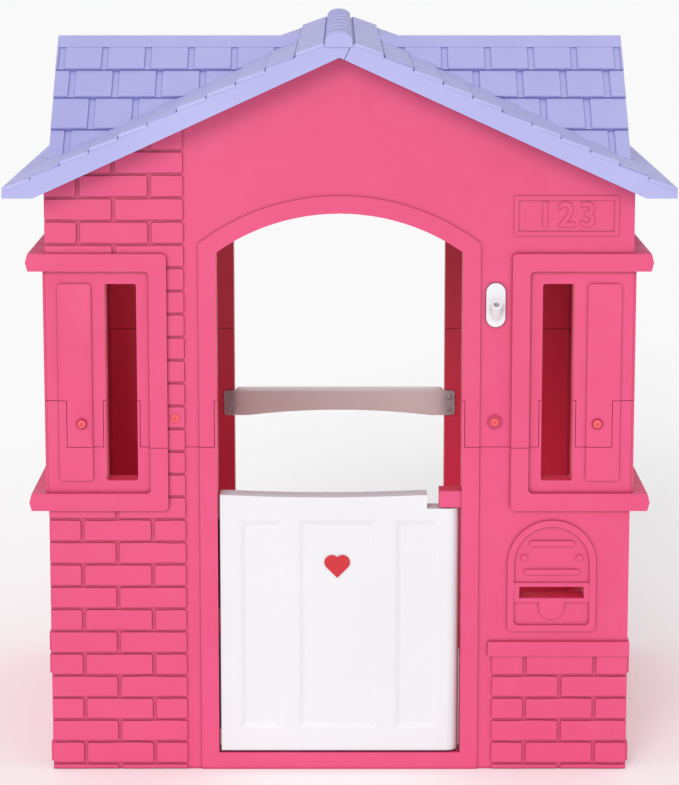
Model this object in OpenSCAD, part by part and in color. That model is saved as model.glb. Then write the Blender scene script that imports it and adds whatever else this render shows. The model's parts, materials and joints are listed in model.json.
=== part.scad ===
// Plastic playhouse: four two-piece moulded walls, a two-piece gabled roof with side dormers,
// a swinging half door, a rear crossbar, a flag holder and the screws that hold it together.
// The front faces -Y and the origin is on the ground under the middle of the house.

/* [Walls] */
// Width of the house across the gable walls
wall_w = 1000; // [980:5:1020]
// Depth of the house from front face to back face
wall_d = 780; // [760:5:800]
// Thickness of every wall panel
wall_t = 42; // [40:1:44]
// Height where the front lap tabs end
lap_low = 575.5; // [570:0.5:580]
// Height where the lower panels end
lap_high = 656.5; // [650:0.5:660]
// Visible gap along the lap joints and where the roof panels meet
seam = 1; // [0.4:0.1:1.2]

/* [Roof] */
// Width of the roof over the eaves
roof_w = 1130; // [1110:5:1150]
// Depth of the roof from front edge to back edge
roof_d = 883; // [870:1:900]
// Pitch of the main roof slopes, in degrees
roof_pitch = 24.6; // [24:0.1:25.2]
// Height of the underside of the roof at its ridge
roof_under = 1245; // [1235:1:1250]
// Vertical thickness of the roof slabs
roof_t = 33; // [30:1:36]
// Depth of one step between two rows of shingles
shingle_step = 5; // [3:0.5:6]
// Height of the ridge of the side dormers
dormer_z = 1257; // [1245:1:1262]
// Distance from the middle to the end face of a dormer
dormer_end = 512; // [505:1:520]
// Pitch of the dormer slopes, in degrees
dormer_pitch = 45.8; // [44:0.1:47]

/* [Doorway] */
// Width of the arched openings
doorway_w = 420; // [410:2:424]
// Height of the sill under each arched opening
sill_h = 30; // [26:1:32]
// Radius of the arch over each opening
arch_r = 363.6; // [360:0.2:366]
// Height of the centre of that arch
arch_z = 615; // [612:1:618]
// Width of the raised band around the opening
band_w = 30; // [26:1:32]

/* [Windows] */
// Distance from the middle to the inner edge of a slim window
slim_x = 346; // [343:1:349]
// Width of a slim window
slim_w = 54; // [50:1:56]
// Height of the bottom of every window
window_low = 516; // [514:1:518]
// Height of the top of every window
window_high = 858; // [855:1:860]
// Width of the window in each side wall
side_window_w = 300; // [280:5:310]
// How far the window caps and sills stand out at the sides
rail_out = 33; // [28:1:34]

/* [Door] */
// Thickness of the door
door_t = 40; // [38:1:40]
// Height of the top of the door
door_top = 490; // [484:1:492]
// Radius of the two hinge pins
pin_r = 5; // [4:0.5:6]
// Gap between the door and the opening at its free edge
door_gap = 4; // [3:0.5:5]

/* [Flag holder] */
// Radius of the socket for the flag stick
flag_bore_r = 5; // [4:0.5:6]
// Depth of that socket
flag_bore_l = 30; // [25:1:32]

/* [Hidden] */
$fn = 64;
pink = "hotpink";
lilac = "mediumpurple";

half_w = wall_w / 2;
half_d = wall_d / 2;
half_roof = roof_w / 2;
half_doorway = doorway_w / 2;
slope = tan(roof_pitch);
eave_z = roof_under - slope * half_w;
front_y = -half_d;
lap_y = front_y + wall_t / 2;
inner_y = front_y + wall_t;
inner_x = half_w - wall_t;
// A gap is left where each side wall meets the gable walls
side_gap = 0.3;
side_half = half_d - wall_t - side_gap;
// A length beyond the whole house
far = 2000;
// How far a raised shape is sunk into its wall, and how far a cut runs past a face
skin = 1;
over = 1;
// A hair's breadth, where two outlines or a cut and a face only need to overlap
hair = 0.01;

// Raised mouldings, measured from the face of a wall
trim_h = 10;
band_h = 3;
shutter_h = 3;
ledge_h = 6;
letterbox_h = 4;
letterbox_detail_h = 3;
plaque_rise = 2;
side_shutter_h = 5;
side_panel_h = 3;

// Window trim: a C shape whose bars run on round the corner of the house
trim_x = 294;
trim_bar = 30;
trim_r = 8;
// The end of each bar that has square corners, where it meets the corner of the house
trim_square = 20;
corner_inset = 2;
slim_r = 4;
rail_nose = 4;
cap_low = 880.5;
sill_low = 464.5;
shutter_x = 423;
shutter_w = 57;
shutter_r = 6;
lip = 5;
tab_end = 466.5;

// Tongue on each side wall and the groove that takes it
tongue_t = 14;
tongue_l = 12;
tongue_x = half_w - wall_t / 2;
groove_play = 0.5;
groove_room = 1;
tongue_drop = 24;
groove_drop = 21;
groove_top = eave_z - groove_drop;
tongue_top = eave_z - tongue_drop;

// Windows, shutters and lap tabs of the side walls, measured from their middle
side_window_r = 10;
side_frame_out = 24;
side_frame_lift = 15;
side_shutter_y = 264;
side_shutter_half = 80;
side_shutter_tuck = 10;
side_shutter_low = sill_low + trim_bar - side_shutter_tuck;
side_shutter_high = cap_low + side_shutter_tuck;
side_panel_half = 52;
side_tab_y = 228;
side_tab_half = 73;

// Letterbox
box_x = 367;
box_r = 76.5;
box_z = 369.5;
box_low = 249;
box_rim = 11;
box_corner_r = 8;
box_straight = 20;
slot_w = 112;
slot_low = 308;
slot_h = 20.5;
slot_rim_half = 66;
slot_rim = 7;
thumb_z = 291.5;
thumb_r = 21.5;
box_peg_x = 47.5;
box_peg_z = 379.5;
box_peg_r = 5.5;
box_bar_h = 9;
box_bar_r = 4;
// [half width, height of the lower edge] of each bar on the letterbox
box_bars = [[39, 400.5], [47, 350]];

// Ledge over the right-hand bricks
ledge_x = 257.5;
ledge_low = 204.5;
ledge_high = 230.5;
ledge_out = 3;
ledge_inset = 0.5;

// Plaque
plaque_x = 384.5;
plaque_z = 974.5;
plaque_w = 177;
plaque_h = 68;
plaque_rim = 7;

// Door and its pivot
// Gaps under the door and at its hinged edge
door_lift = 3;
hinge_gap = 3;
door_low = sill_h + door_lift;
pivot_x = half_doorway - hinge_gap - door_t / 2;
pivot_y = lap_y;
door_free = -half_doorway + door_gap;
door_front = pivot_y - door_t / 2;
door_back = pivot_y + door_t / 2;
notch_w = 36;
notch_h = 24;
notch_x = pivot_x - notch_w;
notch_z = door_top - notch_h;
ear_half = 15;
ear_h = 28.5;
ear_x = pivot_x - ear_half;
ear_gap = 2.5;
ear_low = notch_z + ear_gap;
ear_high = ear_low + ear_h;
running = 0.06;
pin_fit = 0.02;
pin_play = 0.05;
pin_bite = 20;
pin_reach = 27;
// Room under the upper pin, so that only the lower one carries the door, and in the blind seats
pin_room = 2;
seat_room = 0.1;
stop_low = 280;
stop_high = 440;
stop_w = 7.5;
stop_t = 13;
stop_notch = 6;
// Room around the stop in the notch of the door
stop_play_y = 2;
stop_play_z = 5;
catch_low = 65;
catch_high = 235;
catch_r = 6;
catch_out = 3.5;
door_dip = 4;
door_dip_half = 165;
door_dip_end = 10;
door_dip_x = notch_x - door_dip_end - door_dip_half;
badge_x = -4;
badge_z = 361;
badge_r = 13;
badge_t = 2;
door_panel_x = [[-173, -98], [-72, 64], [95, 171]];
door_panel_low = 72;
door_panel_high = 447;
door_panel_sink = 4;
door_panel_r = 5;

// Screws
lap_shaft_r = 4;
lap_head_r = 7.4;
lap_head_h = 3;
lap_shaft_l = 34;
screw_r = 2.5;
screw_head_r = 4.5;
screw_head_h = 3;
fit = 0.05;
// Room around a sunk screw head, and past the tip of a lap screw in a side wall
head_play = 0.5;
tip_room = 3;
corner_screw_l = 28;
corner_bore_l = 33;
corner_sink = 10;
bar_screw_l = 24;
ridge_screw_l = 32;
roof_screw_l = 65;
corner_screw_z = [110, 400, 560, 700, 960];
roof_screw_y = 280;
roof_screw_z = 996;
ridge_screw_x = 14;
ridge_screw_y = [-330, 0, 330];
flag_x = 266;
flag_z = 822;
flag_screw_dz = 26;
flag_screw_l = wall_t - 1;
flag_oval_r = 16.5;
flag_oval_dz = 21.5;
flag_plate_out = 5;
flag_plate_in = 3;
flag_play = 1;
flag_boss_r = 10;
flag_boss_drop = 16;
bar_z = 531;
bar_h = 49;
bar_r = 8;
bar_bow = 11;
bar_bow_half = 182;
bar_gap = 1;
flange_w = 20;
flange_t = 7;
flange_r = 6;
flange_lap = 12;
bar_screw_z = [bar_z - 13, bar_z - 37];
bar_screw_x = half_doorway + 9;

// [x, z] of the lap screws in the front wall, and whether each sits on a shutter
front_lap_points = [[-441.5, 616, 1], [-281, 626, 0], [266, 619, 0], [441.5, 616, 1]];
side_lap_points = [-side_tab_y, side_tab_y];

// ---------------------------------------------------------------- helpers

// Radius of the arc that rises by rise over a half width of half
function bow_radius(half, rise) = (half * half + rise * rise) / (2 * rise);

// Extrudes an (x, z) outline from y = y0 to y = y1
module along_y(y0, y1) {
    translate([0, y1, 0]) rotate([90, 0, 0]) linear_extrude(y1 - y0) children();
}

// Extrudes a (y, z) outline from x = x0 to x = x1
module along_x(x0, x1) {
    translate([x0, 0, 0]) rotate([90, 0, 90]) linear_extrude(x1 - x0) children();
}

module rect(x0, y0, x1, y1) {
    translate([x0, y0]) square([x1 - x0, y1 - y0]);
}

module both_sides() {
    children();
    mirror([1, 0, 0]) children();
}

// A rectangle with round corners
module round_rect(x0, y0, x1, y1, r) {
    rect(x0 + r, y0, x1 - r, y1);
    rect(x0, y0 + r, x1, y1 - r);
    for (x = [x0 + r, x1 - r], y = [y0 + r, y1 - r])
        translate([x, y]) circle(r);
}

// Rod from z = 0 up
module rod(r, l) {
    cylinder(r = r, h = l);
}

// A screw along +Z with its head below z = 0
module screw(l) {
    translate([0, 0, -screw_head_h]) {
        rod(screw_r, screw_head_h + l);
        rod(screw_head_r, screw_head_h);
    }
}

// The hole that such a screw fills
module screw_hole(l) {
    rod(screw_r + fit, l + over);
}

// ---------------------------------------------------------------- gable walls

module gable_outline() {
    polygon([
        [-half_w, 0], [half_w, 0], [half_w, eave_z],
        [0, roof_under], [-half_w, eave_z]
    ]);
}

module doorway_outline(grow, low) {
    intersection() {
        translate([0, arch_z]) circle(arch_r + grow, $fn = 180);
        rect(-half_doorway - grow, arch_z, half_doorway + grow, far);
    }
    rect(-half_doorway - grow, low, half_doorway + grow, arch_z + hair);
}

module slim_window() {
    round_rect(slim_x, window_low, slim_x + slim_w, window_high, slim_r);
}

module gable_wall_outline() {
    difference() {
        gable_outline();
        doorway_outline(0, sill_h);
        both_sides() slim_window();
    }
}

// Tabs of an upper panel that lie over the lower panel
module gable_tabs(grow) {
    both_sides() {
        rect(half_doorway + lip - grow, lap_low - grow, slim_x - lip + grow, lap_high + over);
        rect(slim_x + slim_w + lip - grow, lap_low - grow, tab_end + grow, lap_high + over);
    }
}

module upper_face() {
    rect(-far, lap_high, far, far);
    gable_tabs(0);
}

module lower_face() {
    difference() {
        rect(-far, -far, far, lap_high - seam);
        gable_tabs(seam);
    }
}

module trim_outline() {
    difference() {
        union() {
            round_rect(trim_x, sill_low, half_w, cap_low + trim_bar, trim_r);
            rect(half_w - trim_square, sill_low, half_w, sill_low + trim_bar);
            rect(half_w - trim_square, cap_low, half_w, cap_low + trim_bar);
        }
        round_rect(trim_x + trim_bar, sill_low + trim_bar, far, cap_low, trim_r);
    }
}

module band_outline() {
    difference() {
        doorway_outline(band_w, -far);
        doorway_outline(0, sill_h);
        rect(-far, -far, far, 0);
    }
}

module shutter_outline() {
    round_rect(shutter_x, window_low, shutter_x + shutter_w, window_high, shutter_r);
}

// Profile of a window cap or sill where it stands out past the side wall
module rail_profile(low) {
    polygon([
        [half_w - skin, low], [half_w + rail_out - rail_nose, low],
        [half_w + rail_out, low + trim_bar / 2],
        [half_w + rail_out - rail_nose, low + trim_bar], [half_w - skin, low + trim_bar]
    ]);
}

// What both panels of a gable wall carry on their outer face
module gable_relief() {
    along_y(front_y - trim_h, front_y + skin) both_sides() intersection() {
        trim_outline();
        children(0);
    }
    along_y(front_y - band_h, front_y + skin) intersection() {
        band_outline();
        children(0);
    }
    along_y(front_y - shutter_h, front_y + skin) both_sides() intersection() {
        shutter_outline();
        children(0);
    }
}

module gable_body() {
    along_y(front_y, lap_y) intersection() {
        gable_wall_outline();
        children(0);
    }
    along_y(lap_y, inner_y) intersection() {
        gable_wall_outline();
        children(1);
    }
    gable_relief() children(0);
}

// The rail ends and the side shutter's edge on the corner of the house
module corner_blocks(rail_low, edge_low, edge_high) {
    both_sides() {
        along_y(front_y - trim_h, inner_y) rail_profile(rail_low);
        along_y(front_y + corner_inset, inner_y)
            rect(half_w - skin, edge_low, half_w + side_shutter_h, edge_high);
    }
}

// Grooves in the inner face that take the side walls' tongues
module tongue_grooves() {
    both_sides()
        translate([
            tongue_x - tongue_t / 2 - groove_play,
            inner_y - tongue_l - groove_room,
            -over
        ])
        cube([tongue_t + 2 * groove_play, tongue_l + groove_room + over, groove_top + over]);
}

module corner_screw_places(low, high) {
    for (z = corner_screw_z)
        if (z > low && z < high)
            both_sides()
                translate([half_w, inner_y - tongue_l / 2, z])
                rotate([0, -90, 0])
                children();
}

// Counterbored holes for the screws that pin the tongues
module corner_screw_holes(low, high) {
    corner_screw_places(low, high) {
        screw_hole(corner_bore_l);
        translate([0, 0, -corner_sink]) rod(screw_head_r + head_play, corner_sink + screw_head_h);
    }
}

module lap_hole_places(points) {
    for (p = points)
        translate([p[0], front_y - shutter_h * p[2], p[1]])
            rotate([-90, 0, 0])
            children();
}

module lap_holes(points) {
    lap_hole_places(points) {
        translate([0, 0, -over]) rod(lap_shaft_r + fit, lap_shaft_l + 2 * over);
    }
}

module gable_lower() {
    difference() {
        union() {
            gable_body() {
                lower_face();
                rect(-far, -far, far, lap_high - seam);
            }
            corner_blocks(sill_low, sill_low + trim_bar - skin, lap_high - seam);
        }
        tongue_grooves();
        lap_holes(front_lap_points);
        corner_screw_holes(0, lap_high);
    }
}

module gable_upper() {
    difference() {
        union() {
            gable_body() {
                upper_face();
                rect(-far, lap_high, far, far);
            }
            corner_blocks(cap_low, lap_high, cap_low + skin);
        }
        tongue_grooves();
        lap_holes(front_lap_points);
        corner_screw_holes(lap_high, far);
    }
}

// ---------------------------------------------------------------- front wall

module letterbox_outer(inset) {
    translate([box_x, box_z]) circle(box_r - inset);
    round_rect(
        box_x - box_r + inset, box_low + inset,
        box_x + box_r - inset, box_z + over, box_corner_r
    );
    rect(box_x - box_r + inset, box_low + box_straight, box_x + box_r - inset, box_z + over);
}

module slot_outline() {
    rect(box_x - slot_w / 2, slot_low, box_x + slot_w / 2, slot_low + slot_h);
}

module letterbox_relief() {
    along_y(front_y - letterbox_h, front_y + skin) difference() {
        letterbox_outer(0);
        letterbox_outer(box_rim);
    }
    along_y(front_y - letterbox_detail_h, front_y + skin) {
        difference() {
            rect(
                box_x - slot_rim_half, slot_low - slot_rim,
                box_x + slot_rim_half, slot_low + slot_h + slot_rim
            );
            slot_outline();
        }
        translate([box_x, thumb_z]) circle(thumb_r);
        rect(box_x - thumb_r, thumb_z, box_x + thumb_r, slot_low - slot_rim + skin);
        for (bar = box_bars)
            round_rect(box_x - bar[0], bar[1], box_x + bar[0], bar[1] + box_bar_h, box_bar_r);
    }
    for (side = [-1, 1])
        translate([box_x + side * box_peg_x, front_y + skin, box_peg_z])
            rotate([90, 0, 0])
            rod(box_peg_r, letterbox_detail_h + skin);
}

module ledge() {
    along_y(front_y - ledge_h, front_y + skin)
        rect(ledge_x, ledge_low, half_w + ledge_out, ledge_high);
    along_y(front_y + ledge_inset, inner_y)
        rect(half_w - skin, ledge_low, half_w + ledge_out, ledge_high);
}

// The block over the door's shoulder that holds the upper hinge pin
module hinge_ear() {
    along_y(front_y, inner_y) rect(ear_x, ear_low, half_doorway + skin, ear_high);
}

// The rib on the free jamb that stops the door in line with the wall
module door_stop() {
    along_y(inner_y - stop_t, inner_y)
        rect(-half_doorway - skin, stop_low, -half_doorway + stop_w, stop_high);
}

module pin_seat(z) {
    translate([pivot_x, pivot_y, z]) rod(pin_r + pin_fit, pin_bite);
}

module front_wall_lower() {
    color(pink) difference() {
        union() {
            gable_lower();
            letterbox_relief();
            ledge();
            hinge_ear();
            door_stop();
        }
        along_y(front_y - trim_h, inner_y + over) slot_outline();
        pin_seat(ear_low - hair);
        pin_seat(sill_h - pin_bite + hair);
    }
}

module plaque_outline(inset) {
    translate([plaque_x, plaque_z])
        square([plaque_w - 2 * inset, plaque_h - 2 * inset], center = true);
}

module plaque_relief() {
    along_y(front_y - plaque_rise, front_y + skin) difference() {
        plaque_outline(0);
        plaque_outline(plaque_rim);
    }
}

// An oval made of circles and a square, so that its round ends stay true
module flag_oval(grow) {
    for (side = [-1, 1])
        translate([flag_x, flag_z + side * flag_oval_dz]) circle(flag_oval_r + grow);
    translate([flag_x, flag_z])
        square([2 * (flag_oval_r + grow), 2 * flag_oval_dz], center = true);
}

module flag_screw_places() {
    for (side = [-1, 1])
        translate([flag_x, inner_y, flag_z + side * flag_screw_dz])
            rotate([90, 0, 0])
            children();
}

module front_wall_upper() {
    color(pink) difference() {
        union() {
            gable_upper();
            plaque_relief();
        }
        along_y(front_y - flag_plate_out, front_y + flag_plate_in) flag_oval(flag_play);
        flag_screw_places() translate([0, 0, -over]) screw_hole(wall_t + over);
    }
}

// ---------------------------------------------------------------- back wall

module to_back() {
    rotate([0, 0, 180]) children();
}

module bar_screw_places() {
    for (side = [-1, 1], z = bar_screw_z)
        translate([side * bar_screw_x, -inner_y - flange_t, z])
            rotate([-90, 0, 0])
            children();
}

module back_wall_lower() {
    color(pink) difference() {
        to_back() gable_lower();
        bar_screw_places() screw_hole(bar_screw_l + over);
    }
}

module back_wall_upper() {
    color(pink) to_back() gable_upper();
}

// ---------------------------------------------------------------- side walls

module side_window() {
    round_rect(
        -side_window_w / 2, window_low,
        side_window_w / 2, window_high, side_window_r
    );
}

module side_wall_outline() {
    difference() {
        rect(-side_half, 0, side_half, eave_z);
        side_window();
    }
}

module side_tabs(grow) {
    for (side = [-1, 1])
        rect(
            side * side_tab_y - side_tab_half - grow, lap_low - grow,
            side * side_tab_y + side_tab_half + grow, lap_high + over
        );
}

module side_upper_face() {
    rect(-far, lap_high, far, far);
    side_tabs(0);
}

module side_lower_face() {
    difference() {
        rect(-far, -far, far, lap_high - seam);
        side_tabs(seam);
    }
}

module side_frame_outline() {
    difference() {
        round_rect(
            -side_window_w / 2 - side_frame_out, sill_low + side_frame_lift,
            side_window_w / 2 + side_frame_out, cap_low + side_frame_lift, trim_r
        );
        side_window();
    }
}

module side_shutter_outline() {
    for (side = [-1, 1])
        rect(
            side * side_shutter_y - side_shutter_half, side_shutter_low,
            side * side_shutter_y + side_shutter_half, side_shutter_high
        );
}

module side_panel_outline() {
    for (side = [-1, 1])
        round_rect(
            side * side_shutter_y - side_panel_half, window_low,
            side * side_shutter_y + side_panel_half, window_high, shutter_r
        );
}

module side_body() {
    along_x(half_w - wall_t / 2, half_w) intersection() {
        side_wall_outline();
        children(0);
    }
    along_x(inner_x, half_w - wall_t / 2) intersection() {
        side_wall_outline();
        children(1);
    }
    along_x(half_w - skin, half_w + side_shutter_h) intersection() {
        union() {
            side_frame_outline();
            side_shutter_outline();
        }
        children(0);
    }
    along_x(half_w, half_w + side_shutter_h + side_panel_h) intersection() {
        side_panel_outline();
        children(0);
    }
    for (side = [-1, 1])
        along_x(tongue_x - tongue_t / 2, tongue_x + tongue_t / 2) intersection() {
            rect(
                side > 0 ? side_half - skin : -side_half - tongue_l,
                0,
                side > 0 ? side_half + tongue_l : -side_half + skin,
                tongue_top
            );
            children(1);
        }
}

module side_rail(low) {
    along_y(-side_half, side_half) rail_profile(low);
}

module side_lap_holes() {
    for (y = side_lap_points)
        translate([half_w + side_shutter_h + side_panel_h + over, y, (lap_low + lap_high) / 2])
            rotate([0, -90, 0])
            rod(lap_shaft_r + fit, lap_shaft_l + tip_room + over);
}

// Holes through the tongues for the corner screws
module tongue_holes(low, high) {
    for (z = corner_screw_z, side = [-1, 1])
        if (z > low && z < high)
            translate([half_w, side * (half_d - wall_t + tongue_l / 2), z])
                rotate([0, -90, 0])
                screw_hole(corner_bore_l);
}

module roof_screw_places() {
    for (side = [-1, 1])
        translate([half_w, side * roof_screw_y, roof_screw_z])
            rotate([0, -90, 0])
            children();
}

module side_lower() {
    difference() {
        union() {
            side_body() {
                side_lower_face();
                rect(-far, -far, far, lap_high - seam);
            }
            side_rail(sill_low);
        }
        side_lap_holes();
        tongue_holes(0, lap_high);
    }
}

module side_upper() {
    difference() {
        union() {
            side_body() {
                side_upper_face();
                rect(-far, lap_high, far, far);
            }
            side_rail(cap_low);
        }
        side_lap_holes();
        tongue_holes(lap_high, far);
        roof_screw_places() translate([0, 0, -over]) screw_hole(wall_t + over);
    }
}

module right_wall_lower() {
    color(pink) side_lower();
}

module right_wall_upper() {
    color(pink) side_upper();
}

module left_wall_lower() {
    color(pink) mirror([1, 0, 0]) side_lower();
}

module left_wall_upper() {
    color(pink) mirror([1, 0, 0]) side_upper();
}

// ---------------------------------------------------------------- roof

half_rd = roof_d / 2;
tip_z = 1010;
tip_under_x = (roof_under - tip_z) / slope;
rows = 11;
cap_half = 24;
row_w = (half_roof - cap_half) / rows;
// The slanted line where the two roof panels meet
joint_low_x = 7.5;
joint_high_x = 20.5;
joint_low = [joint_low_x, roof_under - slope * joint_low_x];
joint_high = [joint_high_x, roof_under + roof_t - slope * joint_high_x];
// How far the ridge cap rises over the ridge, at its middle and at its shoulders
cap_rise = 7;
cap_shoulder = 5;
// How far its edge is set in and down, and how far its root is above the ridge's underside
cap_edge = 2;
cap_root = 4;
// Sloping rows on the dormers, measured down the slope from its ridge
dormer_rows = [0, 30, 85, 150, 223, 300];
dormer_start = 60;
dormer_cap_step = 2;
dormer_foot = 900;
lug_w = 30;
lug_l = 60;
lug_drop = 18;
lug_gap = 0.3;
lug_bite = 4;
// How far a dormer runs down into the slab
roof_bite = 10;

function top_z(x) = roof_under + roof_t - slope * x;

// Saw-tooth line of the shingle rows from the eave up to the ridge, x measured outwards
function shingle_line() = [
    for (i = [0 : rows - 1])
        let (x0 = half_roof - i * row_w, x1 = x0 - row_w)
        each [[x0, top_z(x0) + shingle_step], [x1, top_z(x1)]]
];

// One slope of the roof, drawn for the right side
module slope_outline(inner_low, inner_high) {
    polygon(concat(
        [inner_low, [tip_under_x, tip_z], [half_roof, tip_z]],
        shingle_line(),
        [inner_high]
    ));
}

function dormer_point(t, lift) = [
    -cos(dormer_pitch) * t - sin(dormer_pitch) * lift,
    dormer_z - sin(dormer_pitch) * t + cos(dormer_pitch) * lift
];

// Stepped outline of the front half of a dormer, down to below the main slope
module dormer_half() {
    polygon(concat(
        [[0, dormer_foot], [0, dormer_z]],
        [
            for (i = [0 : len(dormer_rows) - 2])
                each [
                    dormer_point(dormer_rows[i], 0),
                    dormer_point(dormer_rows[i + 1], i == 0 ? dormer_cap_step : shingle_step)
                ]
        ],
        [[dormer_point(dormer_rows[len(dormer_rows) - 1], 0)[0], dormer_foot]]
    ));
}

module dormer() {
    intersection() {
        along_x(dormer_start, dormer_end) {
            dormer_half();
            mirror([1, 0]) dormer_half();
        }
        along_y(-half_rd, half_rd) polygon([
            [dormer_start, top_z(dormer_start) - roof_bite], [dormer_start, far],
            [dormer_end, far], [dormer_end, top_z(dormer_end) - roof_bite]
        ]);
    }
}

// Blocks under the roof that the roof screws go into
module roof_lugs() {
    for (side = [-1, 1])
        translate([
            inner_x - lug_w - lug_gap,
            side * roof_screw_y - lug_l / 2,
            roof_screw_z - lug_drop
        ])
        cube([lug_w, lug_l, roof_under - slope * inner_x - roof_screw_z + lug_drop + lug_bite]);
}

module roof_slab() {
    along_y(-half_rd, half_rd) children();
    dormer();
    roof_lugs();
}

module ridge_screw_places() {
    for (y = ridge_screw_y)
        translate([ridge_screw_x, y, roof_under - slope * (ridge_screw_x + screw_head_r)])
            children();
}

module roof_panel_right() {
    color(lilac) difference() {
        roof_slab() slope_outline(
            [joint_low_x + seam, roof_under - slope * (joint_low_x + seam)],
            [joint_high_x + seam, top_z(joint_high_x + seam)]
        );
        ridge_screw_places() translate([0, 0, -over]) screw_hole(roof_t + cap_rise);
        roof_screw_places() screw_hole(roof_screw_l + over);
    }
}

module roof_panel_left() {
    color(lilac) difference() {
        union() {
            mirror([1, 0, 0]) roof_slab() slope_outline([0, roof_under], [0, top_z(0)]);
            along_y(-half_rd, half_rd) polygon([
                [-cap_half, top_z(cap_half) - cap_edge], [-cap_half + cap_edge, top_z(0) - cap_edge],
                [-cap_half / 2, top_z(0) + cap_shoulder], [0, top_z(0) + cap_rise],
                [cap_half / 2, top_z(0) + cap_shoulder],
                [joint_high_x, top_z(0) - skin], joint_high, joint_low,
                [0, roof_under], [-cap_half, roof_under + cap_root]
            ]);
        }
        ridge_screw_places() translate([0, 0, -over]) screw_hole(ridge_screw_l);
        mirror([1, 0, 0]) roof_screw_places() screw_hole(roof_screw_l + over);
    }
}

module ridge_screws() {
    color("silver") ridge_screw_places() screw(ridge_screw_l);
}

module roof_screws() {
    color("silver") both_sides() roof_screw_places() screw(roof_screw_l);
}

// ---------------------------------------------------------------- door

// Each face of the door has three sunk panels
module door_panels(y0, y1) {
    along_y(y0, y1)
        for (x = door_panel_x)
            round_rect(x[0], door_panel_low, x[1], door_panel_high, door_panel_r);
}

// The top edge sags a little between its two ends
module door_top_dip() {
    dip_r = bow_radius(door_dip_half, door_dip);
    along_y(door_front - skin, door_back + skin)
        translate([door_dip_x, door_top - door_dip + dip_r])
        circle(dip_r, $fn = 360);
}

// The bulge on the free edge that fills most of the gap to the jamb
module door_catch() {
    translate([door_free - catch_out + catch_r, pivot_y, catch_low])
        rod(catch_r, catch_high - catch_low);
}

module door() {
    color("white") door_catch();
    color("white") difference() {
        translate([0, 0, door_low]) linear_extrude(door_top - door_low) {
            rect(door_free, door_front, pivot_x, door_back);
            translate([pivot_x, pivot_y]) circle(door_t / 2);
        }
        translate([notch_x, door_front - skin, notch_z])
            cube([far, door_t + 2 * skin, far]);
        door_top_dip();
        door_panels(door_front - over, door_front + door_panel_sink);
        door_panels(door_back - door_panel_sink, door_back + over);
        translate([door_free - skin, inner_y - stop_t - stop_play_y, stop_low - stop_play_z])
            cube([
                stop_notch + skin,
                stop_t + 2 * stop_play_y,
                stop_high - stop_low + 2 * stop_play_z
            ]);
        translate([pivot_x, pivot_y, notch_z - pin_reach])
            rod(pin_r + running, pin_reach + over);
        translate([pivot_x, pivot_y, door_low - over]) rod(pin_r + running, pin_reach + over);
    }
}

// A plain heart stuck on the middle panel of the door
module door_badge() {
    face_y = door_front + door_panel_sink;
    color("crimson") along_y(face_y - badge_t, face_y) translate([badge_x, badge_z]) {
        rotate(45) square(2 * badge_r, center = true);
        for (turn = [-45, 45])
            rotate(turn) translate([0, badge_r]) circle(badge_r);
    }
}

module hinge_pin(low, high) {
    color("silver") translate([pivot_x, pivot_y, low]) rod(pin_r, high - low);
}

module door_pin_upper() {
    hinge_pin(notch_z - pin_reach + pin_room, ear_low + pin_bite - seat_room);
}

// The door stands on this pin
module door_pin_lower() {
    hinge_pin(sill_h - pin_bite + seat_room, door_low + pin_reach - pin_play);
}

// ---------------------------------------------------------------- crossbar and fittings

module bar_outline() {
    bow_r = bow_radius(bar_bow_half, bar_bow);
    difference() {
        round_rect(-half_doorway + bar_gap, bar_z - bar_h, half_doorway - bar_gap, bar_z, bar_r);
        translate([0, bar_z - bar_h + bar_bow - bow_r]) circle(bow_r, $fn = 360);
    }
}

module crossbar() {
    color("wheat") difference() {
        union() {
            along_y(-inner_y - flange_t, half_d) bar_outline();
            along_y(-inner_y - flange_t, -inner_y) both_sides()
                round_rect(
                    half_doorway - flange_lap, bar_z - bar_h,
                    half_doorway + flange_w, bar_z, flange_r
                );
        }
        bar_screw_places() translate([0, 0, -over]) screw_hole(flange_t + over);
    }
}

module crossbar_screws() {
    color("silver") bar_screw_places() screw(bar_screw_l);
}

module flag_holder() {
    boss = [flag_x, front_y - flag_plate_in, flag_z - flag_boss_drop];
    color("white") difference() {
        union() {
            along_y(front_y - flag_plate_out, front_y + flag_plate_in) flag_oval(0);
            intersection() {
                translate(boss) rotate([45, 0, 0]) translate([0, 0, -flag_boss_r])
                    rod(flag_boss_r, flag_bore_l + flag_boss_r);
                along_y(-far, front_y + flag_plate_in - skin) rect(0, 0, far, far);
            }
        }
        translate(boss) rotate([45, 0, 0]) rod(flag_bore_r, flag_bore_l + over);
        flag_screw_places() screw_hole(flag_screw_l);
    }
}

module flag_holder_screws() {
    color("silver") flag_screw_places() screw(flag_screw_l);
}

// ---------------------------------------------------------------- wall screws

module lap_screw() {
    translate([0, 0, -lap_head_h]) {
        rod(lap_shaft_r, lap_head_h + lap_shaft_l);
        rod(lap_head_r, lap_head_h);
    }
}

module front_lap_screws() {
    color("lightcoral") lap_hole_places(front_lap_points) lap_screw();
}

module back_lap_screws() {
    color("lightcoral") to_back() lap_hole_places(front_lap_points) lap_screw();
}

module right_lap_screws() {
    color("lightcoral")
        for (y = side_lap_points)
            translate([half_w + side_shutter_h + side_panel_h, y, (lap_low + lap_high) / 2])
                rotate([0, -90, 0])
                lap_screw();
}

module left_lap_screws() {
    mirror([1, 0, 0]) right_lap_screws();
}

module front_corner_screws() {
    color("silver") corner_screw_places(0, far)
        translate([0, 0, screw_head_h])
        screw(corner_screw_l);
}

module back_corner_screws() {
    to_back() front_corner_screws();
}

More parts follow.
